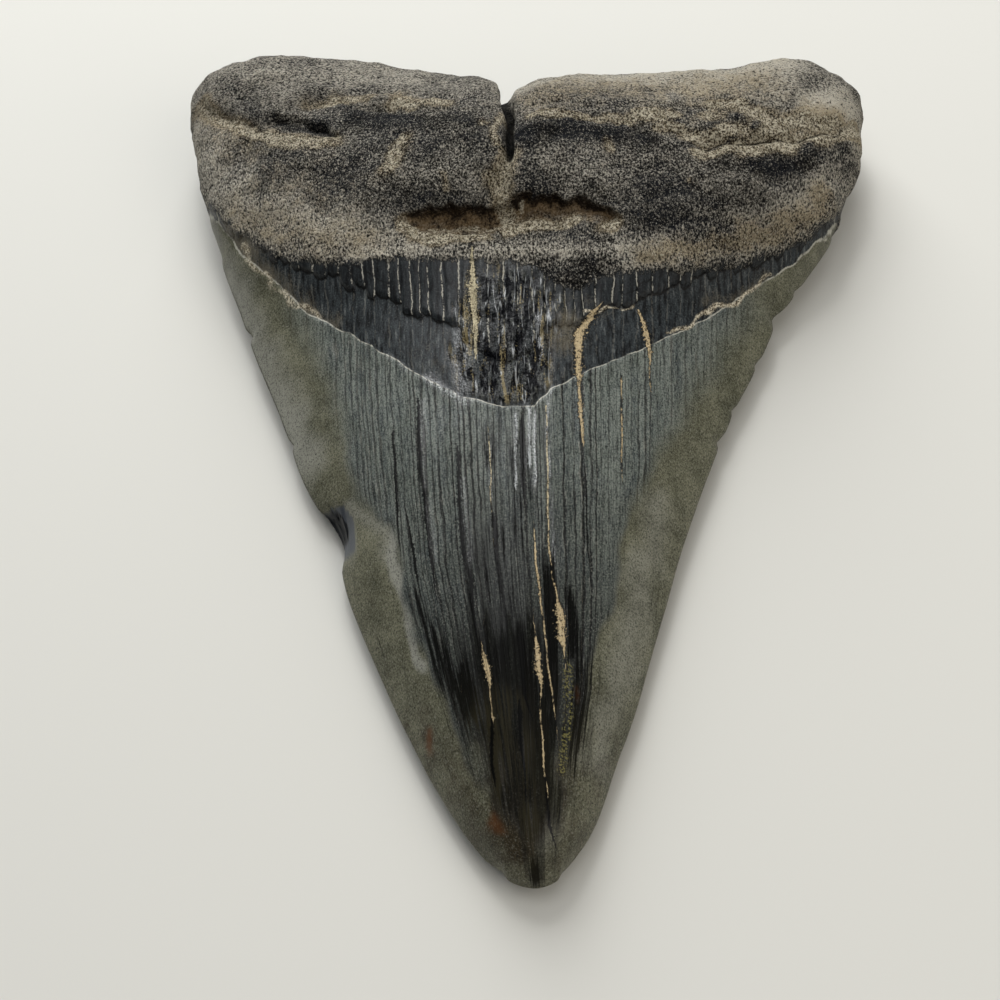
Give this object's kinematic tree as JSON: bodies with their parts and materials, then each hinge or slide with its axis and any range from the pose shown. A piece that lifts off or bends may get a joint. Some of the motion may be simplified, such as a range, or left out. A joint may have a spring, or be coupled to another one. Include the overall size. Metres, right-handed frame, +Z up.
{
  "type": "megalodon tooth",
  "caption": "Fossil megalodon shark tooth: a thick forked root, a ribbed collar and a broad triangular blade, lying flat with its domed inner face up.",
  "frame": {"origin": "on the resting surface, under the middle of the tooth's bounding box", "axes": "+Z up out of the domed inner face, +Y from the blade's tip towards the root, +X to the right when looking down with the root at the top"},
  "size_m": [0.1073, 0.1353, 0.024],
  "materials": {
    "fossil": "dark mineralised dentine and enamel, rough on the root and satin on the blade, with tan sediment in its cracks"
  },
  "bodies": {
    "root": {"tooth": "fossil"}
  },
  "joints": []
}
